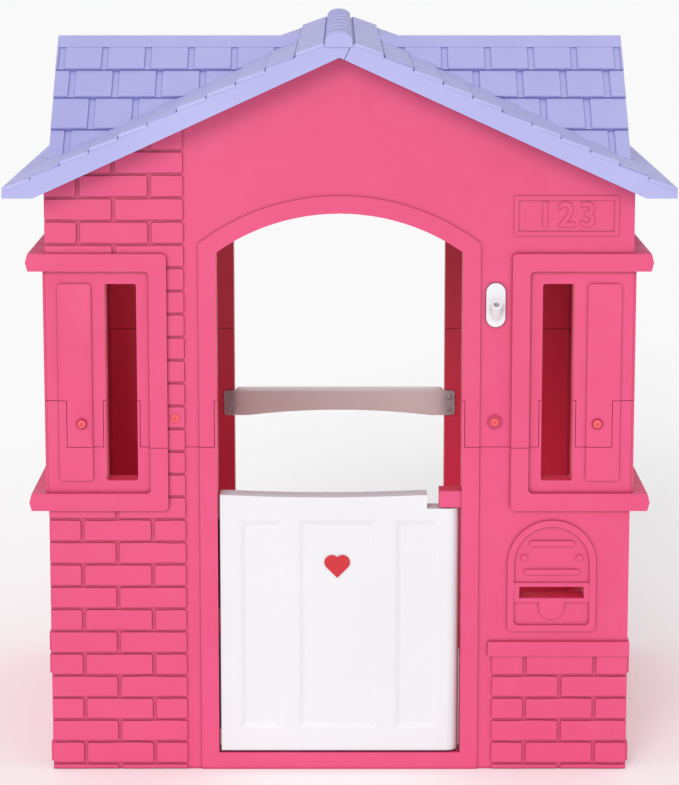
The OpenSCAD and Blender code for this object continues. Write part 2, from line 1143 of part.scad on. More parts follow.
front_wall_lower();
front_wall_upper();
back_wall_lower();
back_wall_upper();
left_wall_lower();
left_wall_upper();
right_wall_lower();
right_wall_upper();
roof_panel_left();
roof_panel_right();
ridge_screws();
roof_screws();
front_lap_screws();
back_lap_screws();
left_lap_screws();
right_lap_screws();
front_corner_screws();
back_corner_screws();
door();
door_badge();
door_pin_upper();
door_pin_lower();
crossbar();
crossbar_screws();
flag_holder();
flag_holder_screws();
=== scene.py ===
"""A plastic playhouse: bricks, tiles, mouldings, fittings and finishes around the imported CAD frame."""

import json
import math
import random

import bpy
from mathutils import Matrix, Vector


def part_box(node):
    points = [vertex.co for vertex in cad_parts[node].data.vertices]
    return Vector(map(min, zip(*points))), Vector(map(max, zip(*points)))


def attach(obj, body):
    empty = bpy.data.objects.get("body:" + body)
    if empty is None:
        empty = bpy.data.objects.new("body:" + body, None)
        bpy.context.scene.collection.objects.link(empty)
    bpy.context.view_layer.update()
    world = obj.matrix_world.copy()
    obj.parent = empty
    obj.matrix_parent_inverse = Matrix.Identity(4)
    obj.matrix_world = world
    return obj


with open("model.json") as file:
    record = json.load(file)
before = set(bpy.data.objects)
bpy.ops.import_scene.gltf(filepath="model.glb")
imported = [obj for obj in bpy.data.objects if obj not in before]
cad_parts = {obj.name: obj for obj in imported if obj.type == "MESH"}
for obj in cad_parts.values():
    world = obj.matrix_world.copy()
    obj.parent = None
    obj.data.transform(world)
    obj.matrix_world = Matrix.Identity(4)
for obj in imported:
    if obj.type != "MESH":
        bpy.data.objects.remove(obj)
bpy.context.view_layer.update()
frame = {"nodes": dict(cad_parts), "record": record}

MM = 0.001
HOUSE = "house"
DOOR = "half_door"
RANDOM = random.Random(7)

# ---------------------------------------------------------------- places

HALF_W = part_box("front_corner_screws")[1].x
# The front wall's box ends at its trim, which stands out from its face by this much
TRIM_OUT = 10 * MM
HALF_D = -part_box("front_wall_lower")[0].y - TRIM_OUT
HALF_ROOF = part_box("roof_panel_right")[1].x
ROOF_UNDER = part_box("front_wall_upper")[1].z

# Sizes of the CAD model that no node's box gives. ROOF_T is the roof's thickness, measured vertically, and
# ROWS is the number of tile rows between an eave and the plain strip along the ridge
WALL_T = 42 * MM
SIDE_GAP = 0.3 * MM
ROOF_SLOPE = math.tan(math.radians(24.6))
ROOF_T = 33 * MM
ROOF_TOP = ROOF_UNDER + ROOF_T
SHINGLE_STEP = 5 * MM
ROWS = 11
RIDGE_STRIP = 24 * MM
ROW_W = (HALF_ROOF - RIDGE_STRIP) / ROWS
DORMER_Z = 1257 * MM
DORMER_END = 512 * MM
DORMER_ANGLE = math.radians(45.8)
DORMER_ROWS = [t * MM for t in (0, 30, 85, 150, 223, 300)]


def top_z(x):
    """Height of the roof's plain upper surface at distance x from the ridge."""
    return ROOF_TOP - ROOF_SLOPE * x


# ---------------------------------------------------------------- node helpers

# Depths behind a wall's outer face at which its colour starts to turn into the painted interior shade colour,
# and has turned
INNER_START = 3 * MM
INNER_FULL = 9 * MM
# How far the painted crease shade looks, and the openness at which it is full and at which it is gone
CREASE_REACH = 7 * MM
CREASE_SAMPLES = 8
CREASE_FULL = 0.5
CREASE_NONE = 0.93


class Shader:
    """A small builder for one material's node tree."""

    def __init__(self, name):
        self.material = bpy.data.materials.new(name)
        self.material.use_nodes = True
        self.tree = self.material.node_tree
        self.tree.nodes.clear()
        output = self.add("ShaderNodeOutputMaterial")
        self.surface = self.add("ShaderNodeBsdfPrincipled")
        self.link(self.surface.outputs["BSDF"], output.inputs["Surface"])
        self.place = self.add("ShaderNodeTexCoord").outputs["Object"]

    def add(self, kind, **values):
        node = self.tree.nodes.new(kind)
        for key, value in values.items():
            setattr(node, key, value)
        return node

    def link(self, source, target):
        self.tree.links.new(source, target)

    def noise(self, scale, detail=2.0, roughness=0.5):
        """Noise in the object's own space, 0 to 1."""
        node = self.add("ShaderNodeTexNoise")
        node.inputs["Scale"].default_value = scale
        node.inputs["Detail"].default_value = detail
        node.inputs["Roughness"].default_value = roughness
        self.link(self.place, node.inputs["Vector"])
        return node.outputs["Fac"]

    def spread(self, value, low, high, to_low, to_high):
        """A value between low and high moved to between to_low and to_high, and held inside them."""
        node = self.add("ShaderNodeMapRange")
        for key, number in zip(("From Min", "From Max", "To Min", "To Max"), (low, high, to_low, to_high)):
            node.inputs[key].default_value = number
        self.link(value, node.inputs["Value"])
        return node.outputs["Result"]

    def mix(self, factor, a, b):
        """Colours a and b mixed by a socket's value; either colour may be a socket too."""
        node = self.add("ShaderNodeMix", data_type="RGBA")
        colours = [s for s in node.inputs if s.type == "RGBA"]
        self.link(factor, node.inputs["Factor"])
        for socket, value in zip(colours, (a, b)):
            if hasattr(value, "links"):
                self.link(value, socket)
            else:
                socket.default_value = (*value, 1)
        return next(s for s in node.outputs if s.type == "RGBA")

    def painted_interior_shade(self):
        """Painted shade mask: 1 on the plastic behind the walls' outer faces, whose deeper colour stands in
        for the shade of the house's interior, 0 on those faces.
        """
        axes = self.add("ShaderNodeSeparateXYZ")
        self.link(self.place, axes.inputs["Vector"])
        depths = []
        for axis, limit in (("X", HALF_W), ("Y", HALF_D)):
            size = self.add("ShaderNodeMath", operation="ABSOLUTE")
            self.link(axes.outputs[axis], size.inputs[0])
            depths.append(self.spread(size.outputs[0], limit - INNER_FULL, limit - INNER_START, 1.0, 0.0))
        both = self.add("ShaderNodeMath", operation="MULTIPLY")
        for socket, depth in zip(both.inputs, depths):
            self.link(depth, socket)
        return both.outputs[0]

    def painted_crease_shade(self):
        """Painted shade from an ambient occlusion node: 1 deep in narrow corners beside raised mouldings, 0
        on open faces.
        """
        node = self.add("ShaderNodeAmbientOcclusion", samples=CREASE_SAMPLES)
        node.inputs["Distance"].default_value = CREASE_REACH
        return self.spread(node.outputs["AO"], CREASE_FULL, CREASE_NONE, 1.0, 0.0)

    def bump(self, height, distance, strength, under=None):
        """A height socket turned into a normal, on top of the normal under it."""
        node = self.add("ShaderNodeBump")
        node.inputs["Strength"].default_value = strength
        node.inputs["Distance"].default_value = distance
        self.link(height, node.inputs["Height"])
        if under is not None:
            self.link(under, node.inputs["Normal"])
        return node.outputs["Normal"]


# ---------------------------------------------------------------- materials

# Bump depths: the slow waves and pebble grain of moulded plastic, and the brushing of steel
WAVE_DEPTH = 1.6 * MM
PEBBLE_DEPTH = 0.12 * MM
BRUSHED_DEPTH = 0.03 * MM
# How strongly light passes into translucent plastic, and how far each of red, green and blue goes
GLOW_WEIGHT = 0.8
GLOW_RADIUS = (1.0, 0.85, 0.75)


def moulded_plastic(name, colour, deep, pale, roughness=0.48, specular=0.6, glow=0.0,
                    inside=None, crease_shade_colour=None):
    """Moulded polyethylene: soft colour drift, pale handling haze, fine pebble grain and slow waviness, and
    where asked painted shade behind the walls' outer faces and beside raised mouldings.
    """
    s = Shader(name)
    drift = s.spread(s.noise(3.2, 3.0), 0.35, 0.65, 0.0, 1.0)
    flecks = s.spread(s.noise(420.0, 2.0, 0.6), 0.62, 0.80, 0.0, 0.16)
    haze = s.spread(s.noise(14.0, 5.0, 0.62), 0.52, 0.78, 0.0, 0.22)
    base = s.mix(drift, colour, deep)
    base = s.mix(haze, base, pale)
    base = s.mix(flecks, base, pale)
    # Painted shade: the plastic behind the walls' outer faces takes a deeper crimson that stands in for the
    # shade inside the house
    if inside:
        base = s.mix(s.painted_interior_shade(), base, inside)
    # Painted shade: narrow corners beside raised mouldings, found by an ambient occlusion node, take a darker
    # colour
    if crease_shade_colour:
        base = s.mix(s.painted_crease_shade(), base, crease_shade_colour)
    s.link(base, s.surface.inputs["Base Color"])
    rough = s.spread(s.noise(26.0, 4.0, 0.6), 0.3, 0.7, roughness - 0.06, roughness + 0.08)
    s.link(rough, s.surface.inputs["Roughness"])
    s.surface.inputs["Specular IOR Level"].default_value = specular
    if glow:
        s.surface.inputs["Subsurface Weight"].default_value = GLOW_WEIGHT
        s.surface.inputs["Subsurface Radius"].default_value = GLOW_RADIUS
        s.surface.inputs["Subsurface Scale"].default_value = glow
    waves = s.bump(s.noise(9.0, 2.0), WAVE_DEPTH, 0.35)
    s.link(s.bump(s.noise(900.0, 2.0, 0.55), PEBBLE_DEPTH, 0.6, waves), s.surface.inputs["Normal"])
    return s.material


def steel(name):
    """Bright zinc-plated steel with a fine random brushing."""
    s = Shader(name)
    tone = s.spread(s.noise(240.0, 4.0, 0.6), 0.3, 0.7, 0.0, 1.0)
    s.link(s.mix(tone, (0.62, 0.63, 0.65), (0.46, 0.47, 0.50)), s.surface.inputs["Base Color"])
    s.link(s.spread(s.noise(700.0, 3.0), 0.3, 0.7, 0.24, 0.42), s.surface.inputs["Roughness"])
    s.surface.inputs["Metallic"].default_value = 1.0
    s.link(s.bump(s.noise(1500.0, 2.0), BRUSHED_DEPTH, 0.5), s.surface.inputs["Normal"])
    return s.material


# The inside colour of PINK is painted shade of the house's interior, and the last colour of PINK, LILAC and
# WHITE is painted shade beside raised mouldings
PINK = moulded_plastic("pink_moulded", (0.76, 0.042, 0.180), (0.73, 0.034, 0.162), (0.80, 0.085, 0.240),
                      specular=1.0, inside=(0.78, 0.002, 0.065), crease_shade_colour=(0.42, 0.004, 0.075))
LILAC = moulded_plastic("lilac_moulded", (0.43, 0.43, 0.77), (0.39, 0.39, 0.73), (0.50, 0.50, 0.82),
                        specular=0.8, crease_shade_colour=(0.26, 0.26, 0.56))
WHITE = moulded_plastic("white_moulded", (0.80, 0.80, 0.82), (0.77, 0.77, 0.80), (0.86, 0.86, 0.88),
                        crease_shade_colour=(0.62, 0.62, 0.66))
CREAM = moulded_plastic("cream_moulded", (0.96, 0.91, 0.87), (0.93, 0.88, 0.83), (0.98, 0.95, 0.92),
                        glow=0.09)
CORAL = moulded_plastic("coral_moulded", (0.86, 0.10, 0.13), (0.80, 0.08, 0.11), (0.90, 0.20, 0.22))
RED = moulded_plastic("badge_moulded", (0.62, 0.01, 0.02), (0.56, 0.01, 0.02), (0.70, 0.05, 0.06),
                      roughness=0.25)
STEEL = steel("zinc_steel")
FINISHES = {
    "wall_plastic": PINK, "roof_plastic": LILAC, "white_plastic": WHITE, "cream_plastic": CREAM,
    "coral_plastic": CORAL, "badge_plastic": RED, "screw_steel": STEEL,
}

# Bevel width that is asked for: three nodes have their own, and in more steps, and the rest share one. The
# clamp narrows a whole node's bevel to suit its shortest edge. It leaves the walls, roof, door and crossbar
# less than a twentieth of the width, so their edges stay all but sharp, and small parts half of it or more
SOFT_EDGES = {"door": 4.5 * MM, "crossbar": 3 * MM, "door_badge": 0.9 * MM}
SOFT_EDGE = 1.8 * MM
OWN_STEPS = 4
SHARED_STEPS = 3
# Points closer than this are joined, faces that turn by less than this are merged, and edges that turn by
# more than this are bevelled
SAME_POINT = 0.02 * MM
SAME_FACE = math.radians(0.5)
SHARP_EDGE = math.radians(35)


def dress_cad_nodes():
    """Each CAD node takes its slot's finish, and a bevel of which the large nodes keep next to nothing."""
    slots = {p["node"]: p["material_slot"] for p in frame["record"]["subparts"]}
    for name, node in frame["nodes"].items():
        node.data.materials.clear()
        node.data.materials.append(FINISHES[slots[name]])
        weld = node.modifiers.new("join", "WELD")
        weld.merge_threshold = SAME_POINT
        flat = node.modifiers.new("plain_faces", "DECIMATE")
        flat.decimate_type = "DISSOLVE"
        flat.angle_limit = SAME_FACE
        soft = node.modifiers.new("moulded_edges", "BEVEL")
        soft.width = SOFT_EDGES.get(name, SOFT_EDGE)
        soft.segments = OWN_STEPS if name in SOFT_EDGES else SHARED_STEPS
        soft.limit_method = "ANGLE"
        soft.angle_limit = SHARP_EDGE
        soft.harden_normals = True
        soft.use_clamp_overlap = True


dress_cad_nodes()


# ---------------------------------------------------------------- faces and raised slabs

CORNER_STEPS = 4
# A corner's radius is at most a side over this
CORNER_LIMIT = 2.2
# Where along a long edge it wanders, how far its wave turns, and how much its own size shifts the wave
WANDER_AT = (0.2, 0.4, 0.6, 0.8)
WANDER_TURN = 2.2 * math.pi
WANDER_SHIFT = 900
SHORTEST_EDGE = 0.15 * MM
# A bisector shorter than this belongs to two edges that fold back on each other
FOLDED = 1e-6
# The most that a sharp corner's bisector is stretched, and the least that its squared length counts as
MITRE_LIMIT = 1.8
SMALLEST_SQUARE = 0.1
FILLET_STEPS = 3
# A slab whose outline is narrower than this many fillets is left out
FILLETS_ACROSS = 3.5
# Faces that turn by less than this are shaded as one smooth surface
SMOOTH_UNDER = math.radians(40)


class Face:
    """A flat face of the object: u runs along it, v up it and h out of it."""

    def __init__(self, origin, across, up):
        self.origin = Vector(origin)
        self.across = Vector(across).normalized()
        self.up = Vector(up).normalized()
        self.out = self.across.cross(self.up)

    def point(self, u, v, h):
        return self.origin + self.across * u + self.up * v + self.out * h


def rounded(u0, v0, u1, v1, radius, wobble=0.0):
    """Counter-clockwise rectangle with round corners, whose top and bottom wander by up to wobble."""
    radius = min(radius, (u1 - u0) / CORNER_LIMIT, (v1 - v0) / CORNER_LIMIT)
    corners = (
        (u1 - radius, v0 + radius, -90), (u1 - radius, v1 - radius, 0),
        (u0 + radius, v1 - radius, 90), (u0 + radius, v0 + radius, 180),
    )
    points = []
    for number, (cu, cv, start) in enumerate(corners):
        for step in range(CORNER_STEPS + 1):
            a = math.radians(start + 90 * step / CORNER_STEPS)
            points.append([cu + radius * math.cos(a), cv + radius * math.sin(a)])
        if wobble and number in (1, 3):
            sign = -1 if number == 1 else 1
            bend = RANDOM.uniform(-wobble, wobble)
            far_u = u0 + radius if number == 1 else u1 - radius
            level = v1 if number == 1 else v0
            for t in WANDER_AT:
                drift = sign * bend * math.sin(WANDER_TURN * t + bend * WANDER_SHIFT)
                points.append([cu + (far_u - cu) * t, level + drift])
    return points


def clipped(points, a, b, c):
    """The part of a convex outline where a * u + b * v >= c."""
    kept = []
    for (u0, v0), (u1, v1) in zip(points, points[1:] + points[:1]):
        d0, d1 = a * u0 + b * v0 - c, a * u1 + b * v1 - c
        if d0 >= 0:
            kept.append([u0, v0])
        if d0 * d1 < 0:
            t = d0 / (d0 - d1)
            kept.append([u0 + (u1 - u0) * t, v0 + (v1 - v0) * t])
    tidy = []
    for point in kept:
        if not tidy or math.dist(point, tidy[-1]) > SHORTEST_EDGE:
            tidy.append(point)
    if len(tidy) > 2 and math.dist(tidy[0], tidy[-1]) < SHORTEST_EDGE:
        tidy.pop()
    return tidy if len(tidy) > 2 else []


def inset(points, amount):
    """The outline moved inwards by amount along each corner's bisector."""
    moved = []
    count = len(points)
    for i, (u, v) in enumerate(points):
        before = Vector(points[i]) - Vector(points[i - 1])
        after = Vector(points[(i + 1) % count]) - Vector(points[i])
        n0 = Vector((-before.y, before.x)).normalized()
        n1 = Vector((-after.y, after.x)).normalized()
        bisector = n0 + n1
        if bisector.length < FOLDED:
            bisector = n0
        scale = min(MITRE_LIMIT, 2 / max(bisector.length_squared, SMALLEST_SQUARE))
        moved.append([u + bisector.x * scale * amount, v + bisector.y * scale * amount])
    return moved


def narrowness(points):
    """Four times area over perimeter: the side of a square, or the width of a thin strip doubled."""
    pairs = list(zip(points, points[1:] + points[:1]))
    area = sum(a[0] * b[1] - a[1] * b[0] for a, b in pairs) / 2
    return 4 * area / sum(math.dist(a, b) for a, b in pairs)


class Mesh:
    """Collects vertices and faces for one piece."""

    def __init__(self):
        self.points = []
        self.faces = []
        self.flat = set()

    def ring(self, points):
        """Adds a ring of points and gives their numbers."""
        start = len(self.points)
        self.points.extend(points)
        return list(range(start, start + len(points)))

    def bridge(self, low, high):
        """A band of faces between two rings."""
        count = len(low)
        for i in range(count):
            j = (i + 1) % count
            self.faces.append((low[i], low[j], high[j], high[i]))

    def slab(self, face, outline, height, fillet=1.2 * MM, sink=1.2 * MM, draft=0.5 * MM):
        """A raised slab with a drafted side, a rounded top edge and a closed back."""
        if len(outline) < 3 or narrowness(outline) < FILLETS_ACROSS * fillet:
            return
        rings = [self.ring([face.point(u, v, -sink) for u, v in inset(outline, -draft)])]
        for step in range(FILLET_STEPS + 1):
            a = math.radians(90 * step / FILLET_STEPS)
            moved = inset(outline, fillet * (1 - math.cos(a)))
            level = height - fillet + fillet * math.sin(a)
            rings.append(self.ring([face.point(u, v, level) for u, v in moved]))
        for low, high in zip(rings, rings[1:]):
            self.bridge(low, high)
        self.close(rings[-1])
        self.close(reversed(rings[0]))

    def close(self, ring):
        """A flat-shaded face over a ring."""
        self.flat.add(len(self.faces))
        self.faces.append(tuple(ring))

    def turned(self, centre, axis, profile, shape=None, segments=32):
        """A turned form: profile is (radius, height) pairs, and shape bends the last two radii."""
        axis = Vector(axis).normalized()
        side = axis.orthogonal().normalized()
        other = axis.cross(side)
        rings = []
        for number, (radius, height) in enumerate(profile):
            ring = []
            for step in range(segments):
                a = 2 * math.pi * step / segments
                r = radius * (shape(a) if shape and number >= len(profile) - 2 else 1)
                ring.append(centre + side * (r * math.cos(a)) + other * (r * math.sin(a)) + axis * height)
            rings.append(self.ring(ring))
        for low, high in zip(rings, rings[1:]):
            self.bridge(low, high)
        return rings

    def piece(self, name, body, slot_name):
        """The collected mesh as a finished piece that rides on a body."""
        data = bpy.data.meshes.new(name)
        data.from_pydata([tuple(p) for p in self.points], [], self.faces)
        data.set_sharp_from_angle(angle=SMOOTH_UNDER)
        data.polygons.foreach_set("use_smooth", [i not in self.flat for i in range(len(data.polygons))])
        piece = bpy.data.objects.new(name, data)
        bpy.context.scene.collection.objects.link(piece)
        data.materials.append(FINISHES[slot_name])
        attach(piece, body)


FRONT = Face((0, -HALF_D, 0), (1, 0, 0), (0, 0, 1))
BACK = Face((0, HALF_D, 0), (-1, 0, 0), (0, 0, 1))
RIGHT = Face((HALF_W, 0, 0), (0, 1, 0), (0, 0, 1))
LEFT = Face((-HALF_W, 0, 0), (0, -1, 0), (0, 0, 1))

# ---------------------------------------------------------------- bricks

COURSE = 39.8 * MM
FIRST_COURSE = 12.8 * MM
BRICK_H = 35.3 * MM
BRICK_RISE = 3.6 * MM
BRICK_GAP = 6.5 * MM
LONG_BRICK = 114.5 * MM
SHORT_BRICK = 53.5 * MM
SHORTEST_BRICK = 6 * MM
BRICK_CORNER = 3.2 * MM
BRICK_FILLET = 0.9 * MM
BRICK_DRAFT = 0.3 * MM
# How far a brick's edges wander, and the length from which they wander more
WANDER = 0.4 * MM
LONG_WANDER = 0.8 * MM
LONG_FROM = 70 * MM
# Room under the lowest bricks and under the roof
GROUND_ROOM = 1.2 * MM
ROOF_ROOM = 1.5 * MM

# The courses of a field, where the first one is cut by the ground
CUT_COURSE = -1
LOW_FIELD_TOP = 4
TALL_FIELD_TOP = 27
SIDE_FIELD_TOP = 10
# A gable's field starts FIELD_IN from the middle, and is narrow beside the windows, where it ends at TRIM_IN
FIELD_IN = 265 * MM
TRIM_IN = 299 * MM
FIRST_NARROW = 12
LAST_NARROW = 21
# From this course up, short and long bricks swap the courses that they start
PATTERN_CHANGE = 17
# From the bottom of an upper panel to the middle of its lap
LAP_MIDDLE = 40 * MM
# A side wall's field: the shift of every other course, and the room at its ends
SIDE_BOND = (LONG_BRICK + BRICK_GAP) / 2
SIDE_ROOM = 2 * MM

CORNER_COURSES = {"right": (0, 4), "left": (0, 4, 5)}
CORNER_L = 39 * MM
CORNER_ROUND = 6 * MM
CORNER_FILLET = 1.6 * MM


def course_spans(number, start, end):
    """Where the bricks of one course begin and end, from start outwards to end."""
    short_first = (number % 2 == 0) == (number < PATTERN_CHANGE)
    length = SHORT_BRICK if short_first else LONG_BRICK
    spans = []
    at = start
    while at < end:
        spans.append((at, min(at + length, end)))
        at += length + BRICK_GAP
        length = LONG_BRICK
    return spans


def brick(mesh, face, u0, u1, number, side=1, roof_limit=True):
    """One brick; side -1 mirrors it to the face's left half."""
    low = FIRST_COURSE + number * COURSE
    high = low + BRICK_H
    low = max(low, GROUND_ROOM)
    if u1 - u0 < SHORTEST_BRICK:
        return
    a, b = (u0, u1) if side > 0 else (-u1, -u0)
    wander = LONG_WANDER if u1 - u0 > LONG_FROM else WANDER
    outline = rounded(a, low, b, high, BRICK_CORNER, wander)
    if roof_limit:
        outline = clipped(outline, -side * ROOF_SLOPE, -1, -ROOF_UNDER + ROOF_ROOM)
    mesh.slab(face, outline, BRICK_RISE, BRICK_FILLET, draft=BRICK_DRAFT)


def gable_bricks(face, prefix, side, tall):
    """The brick field beside the doorway of a gable wall, split where its two panels meet."""
    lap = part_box("front_wall_upper")[0].z
    lower, upper = Mesh(), Mesh()
    last = TALL_FIELD_TOP if tall else LOW_FIELD_TOP
    for number in range(CUT_COURSE, last + 1):
        low = FIRST_COURSE + number * COURSE
        mesh = lower if low + BRICK_H / 2 < lap + LAP_MIDDLE else upper
        narrow = FIRST_NARROW <= number <= LAST_NARROW
        end = TRIM_IN if narrow else HALF_W
        for u0, u1 in course_spans(number, FIELD_IN, end):
            brick(mesh, face, u0, u1, number, side)
    name = prefix + ("_left" if side < 0 else "_right")
    lower.piece(name + "_bricks_lower", HOUSE, "wall_plastic")
    if upper.points:
        upper.piece(name + "_bricks_upper", HOUSE, "wall_plastic")


def side_bricks(face, prefix):
    """The brick field under the window sill of a side wall."""
    mesh = Mesh()
    half = HALF_D - WALL_T - SIDE_GAP
    end = half - SIDE_ROOM
    for number in range(CUT_COURSE, SIDE_FIELD_TOP + 1):
        at = -end if number % 2 else -end - SIDE_BOND
        while at < half:
            brick(mesh, face, max(at, -end), min(at + LONG_BRICK, end), number, roof_limit=False)
            at += LONG_BRICK + BRICK_GAP
    mesh.piece(prefix + "_bricks", HOUSE, "wall_plastic")


def corner_bricks():
    """Brick ends that wrap the edges of the gable walls at a few courses."""
    ends = ((-HALF_D, -HALF_D + CORNER_L), (HALF_D - CORNER_L, HALF_D))
    for edge, face in (("right", RIGHT), ("left", LEFT)):
        mesh = Mesh()
        for number in CORNER_COURSES[edge]:
            low = FIRST_COURSE + number * COURSE
            for u0, u1 in ends:
                outline = rounded(u0, low, u1, low + BRICK_H, CORNER_ROUND, WANDER)
                mesh.slab(face, outline, BRICK_RISE, CORNER_FILLET)
        mesh.piece("corner_bricks_" + edge, HOUSE, "wall_plastic")


gable_bricks(FRONT, "front", -1, True)
gable_bricks(FRONT, "front", 1, False)
gable_bricks(BACK, "back", -1, True)
gable_bricks(BACK, "back", 1, False)
side_bricks(RIGHT, "right")
side_bricks(LEFT, "left")
corner_bricks()

# ---------------------------------------------------------------- roof tiles

TILE_PITCH = 78 * MM
TILE_GAP = 12 * MM
TILE_RISE = 3.2 * MM
TILE_CORNER = 1.6 * MM
TILE_FILLET = 1.1 * MM
TILE_SINK = 2.2 * MM
TILE_DRAFT = 0.6 * MM
SHORTEST_TILE = 4 * MM
# Room between a tile and the lower and upper edge of its row
FOOT_ROOM = 0.6 * MM
HEAD_ROOM = 1.2 * MM
# The main slopes' joints line up again after this many rows
JOINT_CYCLE = 4
# Distance from the middle to a joint in each row of a dormer, whose first row has no tiles, and to the tiles'
# inner end
DORMER_JOINTS = (None, 190 * MM, 246 * MM, 207.5 * MM, 247 * MM)
DORMER_IN = 40 * MM
# How far a dormer's tiles run down into the main slope
DORMER_BITE = 4 * MM

CAP_COUNT = 8
CAP_STEPS = 16
CAP_OVERHANG = 1.5 * MM
CAP_MIDDLE = -1.5 * MM
CAP_HALF = 22 * MM
CAP_DROP = 15 * MM
CAP_FOOT = 22 * MM
# Each cap runs this share of its length under the next
CAP_LAP = 0.01
# Share of a cap's length and rise over the ridge in millimetres, from its front lip to its back end
CAP_PROFILE = ((0.0, 0.2), (0.0, 1.6), (0.015, 2.6), (0.4, 1.8), (1 + CAP_LAP, 0.4))
# A cap widens by this share of its rise, and its arch is squarer the lower this power is
CAP_SPREAD = 0.4
CAP_ARCH = 0.8


def tile_row(mesh, face, length, u_low, u_high, phase, limits=()):
    """One row of tiles hanging down from the face's origin line."""
    at = u_low + (phase % TILE_PITCH) - TILE_PITCH
    while at < u_high:
        u0, u1 = max(at + TILE_GAP / 2, u_low), min(at + TILE_PITCH - TILE_GAP / 2, u_high)
        if u1 - u0 > SHORTEST_TILE:
            outline = rounded(u0, -length + FOOT_ROOM, u1, -HEAD_ROOM, TILE_CORNER)
            for a, b, c in limits:
                outline = clipped(outline, a, b, c)
            mesh.slab(face, outline, TILE_RISE, TILE_FILLET, TILE_SINK, TILE_DRAFT)
        at += TILE_PITCH


def row_face(across, top, bottom):
    """Face of one row between a top and a bottom point, and its length down the slope."""
    up = Vector(top) - Vector(bottom)
    return Face(top, across, up), up.length


def main_rows():
    """Top and bottom (distance out, height) of each row of a main slope, ridge first."""
    rows = []
    for i in range(ROWS):
        low_x = HALF_ROOF - i * ROW_W
        high_x = low_x - ROW_W
        rows.append(((high_x, top_z(high_x)), (low_x, top_z(low_x) + SHINGLE_STEP)))
    return list(reversed(rows))


def main_tiles(side):
    """All the tiles of one main slope."""
    mesh = Mesh()
    name = "right" if side > 0 else "left"
    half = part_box("roof_panel_right")[1].y
    for k, ((x0, z0), (x1, z1)) in enumerate(main_rows()):
        face, length = row_face((0, side, 0), (side * x0, 0, z0), (side * x1, 0, z1))
        front_joint = (k - 1) % JOINT_CYCLE * TILE_PITCH / JOINT_CYCLE
        phase = front_joint if side > 0 else 2 * half - front_joint
        tile_row(mesh, face, length, -half, half, phase)
    mesh.piece("roof_tiles_" + name, HOUSE, "roof_plastic")


def dormer_profile(t, lift):
    """(distance from the middle plane, height) of a point t down a dormer's slope."""
    c, s = math.cos(DORMER_ANGLE), math.sin(DORMER_ANGLE)
    return c * t + s * lift, DORMER_Z - s * t + c * lift


def dormer_tiles(side):
    """The tiles of one dormer's two slopes, cut off where they meet the main slope."""
    mesh = Mesh()
    for row in range(1, len(DORMER_ROWS) - 1):
        y0, z0 = dormer_profile(DORMER_ROWS[row], 0)
        y1, z1 = dormer_profile(DORMER_ROWS[row + 1], SHINGLE_STEP)
        for facing in (-1, 1):
            face, length = row_face((-facing, 0, 0), (0, facing * y0, z0), (0, facing * y1, z1))
            turn = -facing * side
            slope_v = (z0 - z1) / length
            limit = (turn * ROOF_SLOPE, slope_v, top_z(0) - z0 - DORMER_BITE)
            low, high = sorted((turn * DORMER_IN, turn * DORMER_END))
            joint = turn * DORMER_JOINTS[row]
            tile_row(mesh, face, length, low, high, joint - low, (limit,))
    mesh.piece("dormer_tiles_" + ("right" if side > 0 else "left"), HOUSE, "roof_plastic")


def ridge_caps():
    """Rounded cap tiles lapped along the ridge, each raised at its front lip."""
    mesh = Mesh()
    low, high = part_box("roof_panel_left")
    length = (high.y - low.y + 2 * CAP_OVERHANG) / CAP_COUNT
    for i in range(CAP_COUNT):
        start = low.y - CAP_OVERHANG + i * length
        rings = []
        for share, rise in CAP_PROFILE:
            ring = []
            spread = rise * MM * CAP_SPREAD
            width = CAP_HALF + spread
            for step in range(CAP_STEPS + 1):
                a = math.radians(180 * step / CAP_STEPS)
                lift = high.z - CAP_DROP + (CAP_DROP + rise * MM) * math.sin(a) ** CAP_ARCH
                ring.append(Vector((CAP_MIDDLE + width * math.cos(a), start + share * length, lift)))
            for foot in (-width, width):
                ring.append(Vector((CAP_MIDDLE + foot, start + share * length, high.z - CAP_FOOT - spread)))
            rings.append(mesh.ring(ring))
        for front, back in zip(rings, rings[1:]):
            mesh.bridge(back, front)
        mesh.close(rings[0])
        mesh.close(reversed(rings[-1]))
    mesh.piece("ridge_caps", HOUSE, "roof_plastic")


for side in (-1, 1):
    main_tiles(side)
    dormer_tiles(side)
ridge_caps()

# ---------------------------------------------------------------- screw heads, rings and numerals

# A screw head's dome: share of its radius across and up, from its rim to the bottom of its hexagon
DOME_RIM = 0.98
DOME_PROFILE = ((0.97, 0.25), (0.86, 0.36), (0.68, 0.42), (0.5, 0.43), (0.42, 0.42), (0.4, 0.1))
DOME_SINK = 0.3 * MM
DOME_STEPS = 36
SAME_LEVEL = 0.1 * MM

# The ring around a lap screw: millimetres in from its outer radius and up, and its depth behind the head
RING_PROFILE = ((0, -0.8), (0.2, 0.6), (0.9, 1.3), (1.8, 1.1), (2.3, 0.3), (2.4, -0.8))
RING_DEPTH = 3 * MM
WIDE_RING = 13.6 * MM
SLIM_RING = 10.5 * MM
# Screws nearer the middle than this have the wide ring
WIDE_RINGS_TO = 300 * MM

PLAQUE_MIDDLE = Vector((384.5 * MM, -HALF_D, 974.5 * MM))
NUMERAL_SIZE = 58 * MM
NUMERAL_SPACING = 1.25
NUMERAL_SWELL = 0.5 * MM
NUMERAL_RISE = 1.2 * MM
NUMERAL_BEVEL = 0.7 * MM

# The door's sunk panels, which are the same on both faces, and the slope around them
PANEL_SPANS = ((-173 * MM, -98 * MM), (-72 * MM, 64 * MM), (95 * MM, 171 * MM))
PANEL_LOW = 72 * MM
PANEL_HIGH = 447 * MM
PANEL_SINK = 4 * MM
PANEL_CORNER = 5 * MM
BORDER_W = 12 * MM
BORDER_STEPS = 8
# How far the slope's foot is buried in the panel's floor and sides, and its top under the door's face
FOOT_SINK = 0.3 * MM
FOOT_OUT = 0.4 * MM
TOP_SINK = 0.05 * MM


